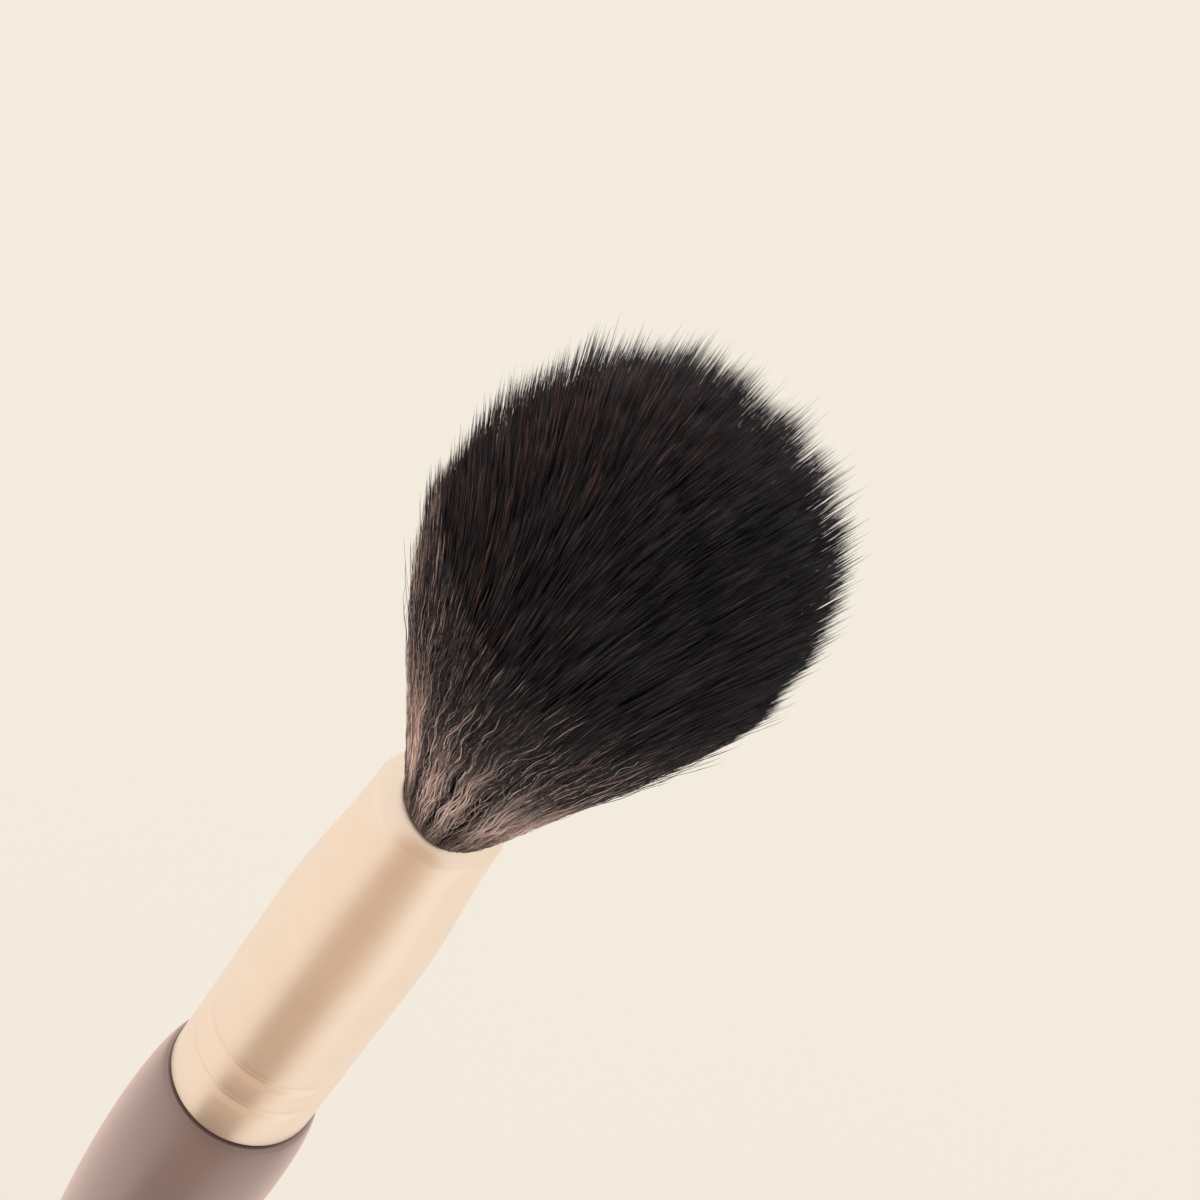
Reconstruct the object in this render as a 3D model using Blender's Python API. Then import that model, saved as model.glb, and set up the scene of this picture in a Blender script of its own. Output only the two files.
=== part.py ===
"""A finishing brush for face powder: a round tuft of dark natural hair, set in a metal ferrule
that is crimped on a turned and lacquered wooden handle.

Units are metres. The brush's axis is +Z, from the handle's end to the hair's tip, and the origin
is the centre of the small flat on the handle's end.
"""

import math
import random

import bmesh
import bpy

# Handle, the wooden part that shows below the ferrule
HANDLE_LENGTH = 0.0885
BELLY_DIAMETER = 0.0153
BELLY_DROP = 0.012
SHOULDER_STEP = 0.0001
TAIL_DIAMETER = 0.0074
TAIL_ROUNDING = 0.0036
END_FLAT_DIAMETER = 0.0040
SWELL_SHARPNESS = 1.25

# Tenon, the part of the handle inside the ferrule, and the glue round its slim end
TENON_HEADROOM = 0.0030
TENON_CHAMFER = 0.0008
TENON_GLUE_THICKNESS = 0.0004
TENON_GLUE_LENGTH = 0.0060

# Ferrule, a drawn tube that narrows to a rolled lip and has two crimped rings near its edge
FERRULE_LENGTH = 0.0435
FERRULE_DIAMETER = 0.0130
FERRULE_WALL = 0.0005
FERRULE_EDGE_ROUND = 0.00015
TAPER_LENGTH = 0.0200
MOUTH_DIAMETER = 0.0109
LIP_THICKNESS = 0.00075
LIP_BLEND_LENGTH = 0.0020
CRIMP_HEIGHTS = (0.0053, 0.0094)
CRIMP_WIDTH = 0.0018
CRIMP_DEPTH = 0.00022

# Hair that shows: the outline of the head, and the strands that fan out to fill it
HAIR_LENGTH = 0.0455
HEAD_DIAMETER = 0.0272
BELLY_SHARE = 0.64
FLARE_POWER = 1.3
DOME_POWER = 2.3
FAN_DIAMETER = 0.0366
BEND_SHARE = 0.33
FULL_WIDTH_SHARE = 0.78
TIP_SCATTER = 0.0015
STRAND_RINGS = 8
STRAND_FILL = 0.82
STRAND_JITTER = 0.18
STRAND_SPLIT_DEPTH = 0.0010
BACKING_THICKNESS = 0.0015

# Hair's root inside the ferrule, the thread that ties it and the glue that holds its butt ends
ROOT_DEPTH = 0.0160
BUTT_LENGTH = 0.0032
THREAD_DIAMETER = 0.0005
THREAD_SPACING = 0.00025
THREAD_TURNS = 4
THREAD_RISE_FROM_GLUE = 0.0008
PLUG_WALL = 0.0006
PLUG_FLOOR = 0.0025

# Gap that stands for contact between pieces that touch on the real brush
CLEARANCE = 0.0003

# Fineness of the meshes
SIDES = 40
THREAD_POINTS_PER_TURN = 16
RANDOM_SEED = 7

# Heights that follow from the sizes above, from the handle's end up
EDGE_Z = HANDLE_LENGTH
MOUTH_Z = EDGE_Z + FERRULE_LENGTH
TIP_Z = MOUTH_Z + HAIR_LENGTH
BEND_Z = MOUTH_Z + HAIR_LENGTH * BEND_SHARE
BUTT_Z = MOUTH_Z - ROOT_DEPTH
PLUG_RIM_Z = BUTT_Z + BUTT_LENGTH - CLEARANCE
PLUG_BOTTOM_Z = BUTT_Z - CLEARANCE - PLUG_FLOOR
TENON_TOP_Z = PLUG_BOTTOM_Z - TENON_HEADROOM
SPLIT_Z = MOUTH_Z - STRAND_SPLIT_DEPTH
SLICE_Z = SPLIT_Z - BACKING_THICKNESS

# Radii that follow from the sizes above
FERRULE_RADIUS = FERRULE_DIAMETER / 2
MOUTH_RADIUS = MOUTH_DIAMETER / 2
LIP_RADIUS = LIP_THICKNESS / 2
HAIR_MOUTH_RADIUS = MOUTH_RADIUS - LIP_THICKNESS - CLEARANCE
HEAD_RADIUS = HEAD_DIAMETER / 2
LIP_Z = MOUTH_Z - LIP_RADIUS


def clear_scene():
    for obj in list(bpy.data.objects):
        bpy.data.objects.remove(obj)


def material(name, colour, roughness, metallic=0.0):
    made = bpy.data.materials.new(name)
    made.use_nodes = True
    shader = made.node_tree.nodes["Principled BSDF"]
    shader.inputs["Base Color"].default_value = (*colour, 1.0)
    shader.inputs["Roughness"].default_value = roughness
    shader.inputs["Metallic"].default_value = metallic
    made.diffuse_color = (*colour, 1.0)
    return made


def add_object(name, bm, finish, sharp_angle=math.radians(35)):
    mesh = bpy.data.meshes.new(name)
    bm.to_mesh(mesh)
    bm.free()
    mesh.materials.append(finish)
    mesh.shade_smooth()
    mesh.set_sharp_from_angle(angle=sharp_angle)
    obj = bpy.data.objects.new(name, mesh)
    bpy.context.scene.collection.objects.link(obj)
    return obj


def turned(name, outline, finish):
    """A solid turned about the brush's axis. The outline is a list of (radius, height) round the
    section: a tube's outline closes on itself, and a solid's starts and ends on the axis."""
    bm = bmesh.new()
    points = [bm.verts.new((radius, 0, height)) for radius, height in outline]
    for first, second in zip(points, points[1:]):
        bm.edges.new((first, second))
    if outline[0][0] > 0:
        bm.edges.new((points[-1], points[0]))
    bmesh.ops.spin(
        bm,
        geom=bm.verts[:] + bm.edges[:],
        cent=(0, 0, 0),
        axis=(0, 0, 1),
        angle=math.tau,
        steps=SIDES,
        use_merge=True,
    )
    bmesh.ops.remove_doubles(bm, verts=bm.verts, dist=1e-6)
    bmesh.ops.recalc_face_normals(bm, faces=bm.faces)
    return add_object(name, bm, finish)


def arc(centre, radii, start_degrees, end_degrees, steps):
    """Points of an ellipse's arc in the section plane, both ends included."""
    points = []
    for step in range(steps + 1):
        angle = math.radians(start_degrees + (end_degrees - start_degrees) * step / steps)
        points.append((centre[0] + radii[0] * math.cos(angle), centre[1] + radii[1] * math.sin(angle)))
    return points


def spread(low, high, count):
    """count evenly spaced values from low to high, both included."""
    return [low + (high - low) * index / (count - 1) for index in range(count)]


def eased(share):
    """A smooth step from 0 to 1."""
    share = min(1.0, max(0.0, share))
    return (1 - math.cos(math.pi * share)) / 2


def crimp_inset(height):
    """How far the crimped rings press the ferrule's wall inwards at this height."""
    inset = 0.0
    for ring in CRIMP_HEIGHTS:
        offset = abs(height - EDGE_Z - ring) / (CRIMP_WIDTH / 2)
        inset += CRIMP_DEPTH * (1 - eased(offset))
    return inset


def outer_radius(height):
    """The ferrule's outside."""
    taper = eased((height - (MOUTH_Z - TAPER_LENGTH)) / TAPER_LENGTH)
    return FERRULE_RADIUS + (MOUTH_RADIUS - FERRULE_RADIUS) * taper - crimp_inset(height)


def bore_radius(height):
    """The ferrule's inside. Its wall thickens to the rolled lip over a short stretch."""
    lip_share = eased((height - (LIP_Z - LIP_BLEND_LENGTH)) / LIP_BLEND_LENGTH)
    wall = FERRULE_WALL + (LIP_THICKNESS - FERRULE_WALL) * lip_share
    return outer_radius(height) - wall


def wall_levels(low, high):
    """The heights from low to high where a face that follows the ferrule's wall needs points."""
    levels = []
    for ring in CRIMP_HEIGHTS:
        middle = EDGE_Z + ring
        levels += spread(middle - CRIMP_WIDTH / 2, middle + CRIMP_WIDTH / 2, 7)
    levels += spread(MOUTH_Z - TAPER_LENGTH, LIP_Z - LIP_BLEND_LENGTH, 7)
    levels += [LIP_Z - LIP_BLEND_LENGTH / 2]
    margin = CLEARANCE / 2
    return [low] + [z for z in sorted(levels) if low + margin < z < high - margin] + [high]


def along_bore(low, high, inset):
    """Points (radius, height) that stay inset from the ferrule's bore, from low up to high."""
    return [(bore_radius(max(z, EDGE_Z)) - inset, z) for z in wall_levels(low, high)]


def make_ferrule(finish):
    """The metal tube: up its outside, over the rolled lip and down its bore."""
    edge = FERRULE_EDGE_ROUND
    outline = arc((FERRULE_RADIUS - edge, EDGE_Z + edge), (edge, edge), -90, 0, 2)
    outline += [(outer_radius(z), z) for z in wall_levels(EDGE_Z + edge, LIP_Z)[1:-1]]
    outline += arc((outer_radius(LIP_Z) - LIP_RADIUS, LIP_Z), (LIP_RADIUS, LIP_RADIUS), 0, 180, 6)
    outline += reversed(along_bore(EDGE_Z, LIP_Z, 0)[:-1])
    return turned("ferrule", outline, finish)


def make_handle(finish):
    """The wooden handle: the flat at its end, the slim tail, the belly, the shoulder that the
    ferrule's edge seats on, the tenon's snug part under the crimps and its slim glued end."""
    tail = TAIL_DIAMETER / 2
    flat = END_FLAT_DIAMETER / 2
    belly = BELLY_DIAMETER / 2
    shoulder = FERRULE_RADIUS + SHOULDER_STEP
    shoulder_z = EDGE_Z - CLEARANCE
    belly_z = EDGE_Z - BELLY_DROP
    outline = [(0, 0)]
    outline += arc((flat, TAIL_ROUNDING), (tail - flat, TAIL_ROUNDING), -90, 0, 5)
    for height in spread(TAIL_ROUNDING, belly_z, 12)[1:]:
        share = (height - TAIL_ROUNDING) / (belly_z - TAIL_ROUNDING)
        outline.append((tail + (belly - tail) * eased(share**SWELL_SHARPNESS), height))
    outline += arc((shoulder, belly_z), (belly - shoulder, shoulder_z - belly_z), 0, 90, 7)[1:]

    snug_top = TENON_TOP_Z - TENON_GLUE_LENGTH - CLEARANCE * 2
    chamfer_z = TENON_TOP_Z - TENON_CHAMFER
    outline += along_bore(shoulder_z, snug_top, CLEARANCE)
    outline += along_bore(snug_top, chamfer_z, TENON_GLUE_THICKNESS + CLEARANCE * 2)
    outline += [(outline[-1][0] - TENON_CHAMFER, TENON_TOP_Z), (0, TENON_TOP_Z)]
    return turned("handle", outline, finish)


def make_tenon_glue(finish):
    """The sleeve of glue between the tenon's slim end and the ferrule."""
    bottom = TENON_TOP_Z - TENON_GLUE_LENGTH - CLEARANCE
    top = TENON_TOP_Z - TENON_CHAMFER
    outline = along_bore(bottom, top, CLEARANCE)
    outline += reversed(along_bore(bottom, top, CLEARANCE + TENON_GLUE_THICKNESS))
    return turned("tenon_glue", outline, finish)


def make_glue_plug(finish):
    """The cup of set epoxy that holds the hair's butt ends in the ferrule."""
    outline = [(0, PLUG_BOTTOM_Z)]
    outline += along_bore(PLUG_BOTTOM_Z, PLUG_RIM_Z, CLEARANCE)
    outline += reversed(along_bore(BUTT_Z - CLEARANCE, PLUG_RIM_Z, CLEARANCE + PLUG_WALL))
    outline += [(0, BUTT_Z - CLEARANCE)]
    return turned("root_glue_plug", outline, finish)


def thread_height():
    """The height of the thread's winding, from the middle of its first turn to that of its last."""
    return (THREAD_DIAMETER + THREAD_SPACING) * THREAD_TURNS


def thread_start_z():
    return BUTT_Z + BUTT_LENGTH + THREAD_RISE_FROM_GLUE + THREAD_DIAMETER / 2


def thread_radius():
    """The radius of the line that the thread follows, just inside the bore where that is least."""
    return bore_radius(thread_start_z() + thread_height()) - CLEARANCE - THREAD_DIAMETER / 2


def make_binding_thread(finish):
    """The thread wound round the hair's root, one tube along a helix."""
    curve = bpy.data.curves.new("binding_thread", "CURVE")
    curve.dimensions = "3D"
    curve.bevel_depth = THREAD_DIAMETER / 2
    curve.bevel_resolution = 1
    curve.use_fill_caps = True
    line = curve.splines.new("POLY")
    line.points.add(THREAD_TURNS * THREAD_POINTS_PER_TURN)
    for index, point in enumerate(line.points):
        turn = index / THREAD_POINTS_PER_TURN
        x = thread_radius() * math.cos(math.tau * turn)
        y = thread_radius() * math.sin(math.tau * turn)
        point.co = (x, y, thread_start_z() + thread_height() * turn / THREAD_TURNS, 1)
    curve.materials.append(finish)
    obj = bpy.data.objects.new("binding_thread", curve)
    bpy.context.scene.collection.objects.link(obj)
    return obj


def make_hair_root(finish):
    """The packed hair inside the ferrule, from its butt ends in the glue plug, through the waist
    where the thread ties it, to the slice that the visible strands grow from."""
    waist_low = thread_start_z() - THREAD_DIAMETER
    waist_high = thread_start_z() + thread_height() + THREAD_DIAMETER
    flat_side = math.cos(math.pi / THREAD_POINTS_PER_TURN)
    waist = thread_radius() * flat_side - THREAD_DIAMETER / 2 - CLEARANCE
    outline = [(0, BUTT_Z)]
    outline += along_bore(BUTT_Z, PLUG_RIM_Z, CLEARANCE * 2 + PLUG_WALL)
    outline += [(waist, waist_low), (waist, waist_high)]
    outline += along_bore(waist_high + THREAD_DIAMETER, SLICE_Z - CLEARANCE, CLEARANCE)
    outline += [(0, SLICE_Z - CLEARANCE)]
    return turned("hair_root", outline, finish)


def head_radius(height):
    """The head's outline: it flares from the mouth to its widest, then closes in a blunt dome."""
    share = min(1.0, max(0.0, (height - MOUTH_Z) / HAIR_LENGTH))
    if share < BELLY_SHARE:
        flare = math.sin(math.pi / 2 * (share / BELLY_SHARE) ** FLARE_POWER)
        return HAIR_MOUTH_RADIUS + (HEAD_RADIUS - HAIR_MOUTH_RADIUS) * flare
    dome = (share - BELLY_SHARE) / (1 - BELLY_SHARE)
    return HEAD_RADIUS * (1 - dome**DOME_POWER) ** (1 / DOME_POWER)


def fan_radius(height):
    """How far from the axis the outermost strand would be at this height if it never ended."""
    share = max(0.0, (height - MOUTH_Z) / HAIR_LENGTH)
    spreading = math.sin(math.pi / 2 * min(1.0, share**FLARE_POWER))
    return HAIR_MOUTH_RADIUS + (FAN_DIAMETER / 2 - HAIR_MOUTH_RADIUS) * spreading


def strand_end(rim_share):
    """The height where a strand that starts at this share of the root's radius meets the outline,
    found by halving. Every strand reaches past the height where they all bend."""
    low = BEND_Z
    high = TIP_Z
    for _ in range(30):
        middle = (low + high) / 2
        if rim_share * fan_radius(middle) < head_radius(middle):
            low = middle
        else:
            high = middle
    return low


def backing_net(bm, draw):
    """The root's upper face as a net of triangles, one for each strand: rings of points with six
    more in each ring than in the last. Inner points are shifted a little, so no two are alike."""
    rings = [[bm.verts.new((0, 0, SPLIT_Z))]]
    for ring in range(1, STRAND_RINGS + 1):
        loose = STRAND_JITTER / STRAND_RINGS if ring < STRAND_RINGS else 0
        points = []
        for index in range(6 * ring):
            angle = math.tau * index / (6 * ring)
            x = ring / STRAND_RINGS * math.cos(angle) + draw.uniform(-loose, loose)
            y = ring / STRAND_RINGS * math.sin(angle) + draw.uniform(-loose, loose)
            points.append(bm.verts.new((x * HAIR_MOUTH_RADIUS, y * HAIR_MOUTH_RADIUS, SPLIT_Z)))
        rings.append(points)
    faces = []
    for ring in range(1, STRAND_RINGS + 1):
        inner, outer = rings[ring - 1], rings[ring]
        for index in range(6 * ring):
            sector, step = divmod(index, ring)
            near = inner[(sector * (ring - 1) + step) % len(inner)]
            following = outer[(index + 1) % len(outer)]
            faces.append(bm.faces.new((near, outer[index], following)))
            if step < ring - 1:
                beyond = inner[(sector * (ring - 1) + step + 1) % len(inner)]
                faces.append(bm.faces.new((near, following, beyond)))
    return faces, rings[-1]


def fan_out(vert, height):
    """Moves a point of a strand up to a height, and out from the axis as the fan spreads."""
    spreading = fan_radius(height) / fan_radius(vert.co.z)
    vert.co = (vert.co.x * spreading, vert.co.y * spreading, height)


def grow_strands(bm, faces, draw):
    """Draws each triangle of the net out into a strand: three lengths of three sides, and a point.
    All strands fan out from the axis by one rule and bend at one height, so none crosses another."""
    strand_ends = bm.faces.layers.float["strand_end"]
    for face in faces:
        rim_share = face.calc_center_median().xy.length / HAIR_MOUTH_RADIUS
        face[strand_ends] = strand_end(rim_share) + draw.uniform(-1, 0.5) * TIP_SCATTER

    faces = bmesh.ops.extrude_discrete_faces(bm, faces=faces)["faces"]
    for face in faces:
        middle = face.calc_center_median()
        for vert in face.verts:
            vert.co = middle.lerp(vert.co, STRAND_FILL)
            fan_out(vert, MOUTH_Z)
    for share in (0, FULL_WIDTH_SHARE):
        faces = bmesh.ops.extrude_discrete_faces(bm, faces=faces)["faces"]
        for face in faces:
            height = BEND_Z + (face[strand_ends] - BEND_Z) * share
            for vert in face.verts:
                fan_out(vert, height)
    for vert in bmesh.ops.poke(bm, faces=faces)["verts"]:
        fan_out(vert, vert.link_faces[0][strand_ends])


def make_hair_tuft(finish):
    """The hair that shows, as strands fused to a slice of the packed root that they grow from."""
    draw = random.Random(RANDOM_SEED)
    bm = bmesh.new()
    bm.faces.layers.float.new("strand_end")
    faces, rim = backing_net(bm, draw)
    lower_rim = [bm.verts.new((v.co.x, v.co.y, SLICE_Z)) for v in rim]
    for index in range(len(rim)):
        following = (index + 1) % len(rim)
        bm.faces.new((rim[index], lower_rim[index], lower_rim[following], rim[following]))
    bm.faces.new(list(reversed(lower_rim)))
    grow_strands(bm, faces, draw)
    bmesh.ops.recalc_face_normals(bm, faces=bm.faces)
    return add_object("hair_tuft", bm, finish)


def build():
    clear_scene()
    lacquer = material("plum_lacquer", (0.165, 0.095, 0.088), 0.35)
    wood_glue = material("wood_glue", (0.85, 0.80, 0.66), 0.5)
    metal = material("rose_gold_metal", (0.83, 0.62, 0.46), 0.28, 1.0)
    epoxy = material("epoxy", (0.62, 0.50, 0.28), 0.35)
    thread = material("waxed_thread", (0.72, 0.66, 0.55), 0.8)
    packed_hair = material("packed_hair", (0.018, 0.013, 0.012), 0.8)
    hair = material("black_hair", (0.022, 0.015, 0.014), 0.55)

    brush_axis = bpy.data.objects.new("brush_axis", None)
    bpy.context.scene.collection.objects.link(brush_axis)
    pieces = [
        make_handle(lacquer),
        make_tenon_glue(wood_glue),
        make_ferrule(metal),
        make_glue_plug(epoxy),
        make_binding_thread(thread),
        make_hair_root(packed_hair),
        make_hair_tuft(hair),
    ]
    for piece in pieces:
        piece.parent = brush_axis


build()
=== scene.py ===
"""The finishing brush as the photograph shows it: the finish of every surface, the hair, and a
plain studio with the camera at the photograph's angle. Lengths are in metres."""

import math

import bmesh
import bpy
import numpy as np
from mathutils import Matrix, Vector


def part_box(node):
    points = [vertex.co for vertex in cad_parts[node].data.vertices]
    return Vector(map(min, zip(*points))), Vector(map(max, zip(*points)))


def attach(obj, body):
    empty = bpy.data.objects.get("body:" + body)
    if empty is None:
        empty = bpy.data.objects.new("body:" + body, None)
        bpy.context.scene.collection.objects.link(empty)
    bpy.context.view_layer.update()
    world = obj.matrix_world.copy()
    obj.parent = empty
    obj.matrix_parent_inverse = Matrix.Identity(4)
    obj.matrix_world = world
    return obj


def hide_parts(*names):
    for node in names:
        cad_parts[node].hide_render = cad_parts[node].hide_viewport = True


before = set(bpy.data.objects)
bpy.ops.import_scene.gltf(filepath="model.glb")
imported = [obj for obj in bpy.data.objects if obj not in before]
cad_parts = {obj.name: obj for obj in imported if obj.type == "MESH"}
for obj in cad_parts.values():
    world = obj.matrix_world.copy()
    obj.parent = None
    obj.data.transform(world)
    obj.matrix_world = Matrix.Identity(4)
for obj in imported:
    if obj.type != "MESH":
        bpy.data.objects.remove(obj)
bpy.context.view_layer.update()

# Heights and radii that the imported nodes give
EDGE_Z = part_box("ferrule")[0].z
MOUTH_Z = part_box("ferrule")[1].z
FERRULE_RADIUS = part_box("ferrule")[1].x
BELLY_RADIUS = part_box("handle")[1].x
TENON_TOP_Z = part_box("handle")[1].z

# The camera, as fitted to the outlines of the ferrule and the head in the photograph
PHOTO_PIXELS = 1200
MOUTH_PIXEL = (449, 798.5)
AXIS_IN_PHOTO = (0.5924, -0.8057)
VIEW_TO_AXIS = math.radians(41.5)
MOUTH_DISTANCE = 0.2492
LENS = 100
SENSOR = 36
CLIP_RANGE = (0.01, 50)

# Ferrule, as in the solid, but with a lip that is a soft and much broader shoulder
FERRULE_WALL = 0.0005
EDGE_ROUND = 0.00022
TAPER_LENGTH = 0.0200
MOUTH_RADIUS = 0.00545
SHOULDER_WIDTH = 0.0018
SHOULDER_HEIGHT = 0.0017
SHOULDER_FULLNESS = 1.45
LIP_ROLL = 0.00012
LIP_BLEND_LENGTH = 0.0020
CRIMP_HEIGHTS = (0.0053, 0.0094)
CRIMP_WIDTH = 0.0018
CRIMP_DEPTH = 0.00022
CRIMP_LEVELS = 17
TUBE_LEVELS = 4
TAPER_LEVELS = 33
SHOULDER_POINTS = 25

# Handle, as in the solid
BELLY_DROP = 0.012
SHOULDER_STEP = 0.0001
TAIL_RADIUS = 0.0037
TAIL_ROUNDING = 0.0036
END_FLAT_RADIUS = 0.0020
SWELL_SHARPNESS = 1.25
SWELL_LEVELS = 48
TENON_CHAMFER = 0.0008
CLEARANCE = 0.0003
SHOULDER_ROUND = 0.00025
GRIPPED_LENGTH = 0.0135
GLUED_START = 0.0136
GLUE_SPACE = 0.0007

# Turned pieces
SIDES = 128
SHARP_ANGLE = math.radians(40)
MERGE_DISTANCE = 1e-7

# The head of hair. Heights are shares of its length over the mouth. A hair's root is a point of
# the unit disc, and its rim share is that point's distance from the middle.
HAIR_LENGTH = 0.0452
HAIR_ROOT_RADIUS = 0.0034
HAIR_MOUTH_RADIUS = 0.0040
HAIR_START_DEPTH = 0.0022
HEAD_RADIUS = 0.0141
BELLY_SHARE = 0.70
FLARE_POWER = 1.40
DOME_POWER = 2.45
FAN_RADIUS = 0.0193
START_SLOPE = 0.35
START_SLOPE_SWING = 0.02
END_SLOPE = 0.38
END_SLOPE_SWING = 0.05
SPLAY_MIDDLE = (-0.0030, 0.0)
SPLAY_REACH = 0.0065
HEAD_OFFSET = 0.0001
TOP_OFFSET = 0.0005
TOP_ZONE = (0.55, 0.30)
MOUTH_ZONE = 0.007
LOWEST_END = 0.3
END_HALVINGS = 24

# How far the hair leans out over the lip. Angles are round the brush from +X.
REACH_MEAN = 0.00041
REACH_SWING = 0.00064
REACH_TURN = 0.80
REACH_LEFT = -2.62
REACH_LEFT_WIDTH = 0.62
REACH_LEFT_DROP = 0.00018
REACH_FRONT = -1.20
REACH_FRONT_WIDTH = 0.65
REACH_FRONT_RISE = 0.00054
LEFT_ANGLE = 3.4

# Zones in which locks and strands gather the outer hairs: where they start and how far they run
OUTER_ZONE = (0.78, 0.10)
GATHER_ZONE = (0, 0.04)
LOCK_FADE_ZONE = (0.12, 0.38)
STRAND_FADE_ZONE = (0.36, 0.30)
STRAND_PULL = 0.6
CROWN_WIDTH = 2.2
HOLLOW_LIMIT = 1.1
HUMP_RIM = 0.8

# Waves: a swing is sideways and a lift is outwards
OWN_WAVES = (0.08, 0.16)
OWN_ZONE = (0, 0.06)
OWN_CALM_ZONE = (0.40, 0.35)
OWN_CALM = 0.55
OWN_SWING = 0.00004
OWN_LIFT = 0.00003
COMMON_ZONE = (0, 0.10)
COMMON_FADE_ZONE = (0.45, 0.30)
LOCK_SWING = 0.00010
LOCK_LIFT = 0.00005
STRAND_SWING = 0.00011
STRAND_LIFT = 0.00005
DRIFT = 0.00032
FAR_DRIFT = 2.0
FAR_SHARE = 0.07
DRIFT_OUTWARDS = 0.6
DRIFT_ZONE = (0.35, 0.65)
LEAN_ZONE = (0.65, 0.35)

# Ragged ends
TUFT_DOMING = 0.26
RAGGEDNESS = 0.008
WISP_SHARE = 0.16
WISP_LENGTH = 0.012
WISP_LIMIT = 0.038

# Tints run from 0, dark, to 1. Those over RED_START are the red-brown hairs, which are painted
# glints; more of them at the left is painted light from the left.
LOCK_TINT_WEIGHT = 0.15
STRAND_TINT_WEIGHT = 0.40
OWN_TINT_WEIGHT = 0.45
TINT_GAIN = 1.55
# Painted shade: hairs in the hollows between locks and between strands get darker tints
LOCK_HOLLOW_PAINTED_SHADE = 0.65
STRAND_HOLLOW_PAINTED_SHADE = 0.40
# Painted light: the tints are raised on the brush's left side
LEFT_PAINTED_LIGHT = 0.15
LEFT_PAINTED_LIGHT_WIDTH = 0.7
TINT_LIMIT = 0.9
RED_START = 0.93
RED_SPREAD = 0.07
RED_PAINTED_GLINT_SHARE = 0.030
LEFT_RED_PAINTED_GLINT_SHARE = 0.22
LEFT_RED_PAINTED_GLINT_WIDTH = 1.0
TINT_COLUMNS = 48

# Outer hairs show along their whole length, so they have more points than the inner hairs
OUTER_PIECES = 6
OUTER_HAIRS = 1250
OUTER_RING = (0.87, 1.0)
OUTER_THICKNESS = 0.000070
OUTER_SHARES = np.concatenate([[0, 0.070, 0.086, 0.102], np.linspace(0.135, 1, 22)])
INNER_PIECES = 4
INNER_HAIRS = 4900
INNER_RING = (0.0, 0.94)
INNER_THICKNESS = 0.000072
INNER_SHARES = np.array([0, 0.085, 0.40, 0.64, 0.80, 0.90, 0.96, 1.0])
THICKNESS_SPREAD = 0.15
THICKNESS_LIMITS = (0.6, 1.5)
TIP_THINNING = 0.58

# Each hair's map lies in the column of its tint, a strip for each of its three sides
STRIP_MARGIN = 0.3
STRIPS_ACROSS = 3.6
MAP_MARGIN = 0.01

# Some outer hairs keep their root's tint for longer. Those at the left keep it longer still, and so
# do the inner hairs at the left: painted light from the left.
LASTING_SHARE = 0.17
LEFT_PAINTED_LIGHT_LASTING_SHARE = 0.25
LASTING_TINT = 0.60
LASTING_TINT_SPREAD = 0.29
LASTING_FADES = (0.50, 0.74)
OTHER_FADES = (0.88, 1.0)
LEFT_PAINTED_LIGHT_FADE_WIDTH = 0.8
LEFT_OUTER_PAINTED_LIGHT = 0.21
LEFT_INNER_PAINTED_LIGHT = 0.35
INNER_FADE_ZONE = (0.55, 0.30)

# Loose hairs, in groups that lie on the head near the ferrule
LOOSE_GROUPS = 420
LOOSE_SIZES = (1, 2, 3, 5)
LOOSE_SIZE_ODDS = (0.40, 0.27, 0.20, 0.13)
LOOSE_THICKNESS = 0.000048
LOOSE_SHARES = np.concatenate([[0, 0.08, 0.15], np.linspace(0.20, 1, 19)])
LOOSE_FROM_MOUTH = 0.5
LOOSE_STARTS = (0.02, 0.34)
LOOSE_LENGTH = 0.09
LOOSE_EXTRA_LENGTH = 0.07
LOOSE_EXTRA_LIMIT = 0.20
LOOSE_LENGTH_SPREAD = (0.6, 1.1)
LOOSE_WAVES = (0.06, 0.15)
LOOSE_OWN_WAVES = (0.035, 0.08)
LOOSE_DRIFT = 0.45
LOOSE_FANNING = 0.014
LOOSE_ZONE = (0.3, 0.7)
LOOSE_WAVE_ZONE = (0, 0.07)
LOOSE_RISE_ZONE = (0, 0.15)
LOOSE_SWING = 0.00014
LOOSE_OWN_SWING = 0.00006
LOOSE_LIFT = 0.00006
LOOSE_OWN_LIFT = 0.00004
LOOSE_SIDE_DRIFT = 0.00025
LOOSE_RISES = (0.00005, 0.00022)
LOOSE_START_DEPTH = 0.0004
LOOSE_GROUP_TINT_WEIGHT = 0.6
LOOSE_OWN_TINT_WEIGHT = 0.4

# Finishes
NOISE_RANGE = (0.3, 0.7)
MIX_FIRST, MIX_SECOND, MIX_RESULT = 6, 7, 2
HAIR_ROUGHNESS = 0.60
HAIR_SPECULAR = 0.09
OUTER_FADE_RANGE = (0.35, 0.70)
# Painted shade inside the head: the inner hairs turn to the tip's dark tints nearer the root than
# the outer hairs
INNER_FADE_RANGE = (0.10, 0.60)
LOOSE_FADE_RANGE = (0.2, 0.9)
# Painted shade: the tip's tints are darker at mid-length than at the very tip
TIP_PAINTED_SHADE = (0.60, 0.95, 0.76, 1.0)
# Painted shade in the crevice: the hair's colour is darkened from the mouth up to this height
CREVICE_PAINTED_SHADE_HEIGHT = 0.0070
CREVICE_PAINTED_SHADE_STOPS = ((0.0, 0.12), (0.12, 0.40), (0.55, 0.62), (1.0, 1.0))
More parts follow.
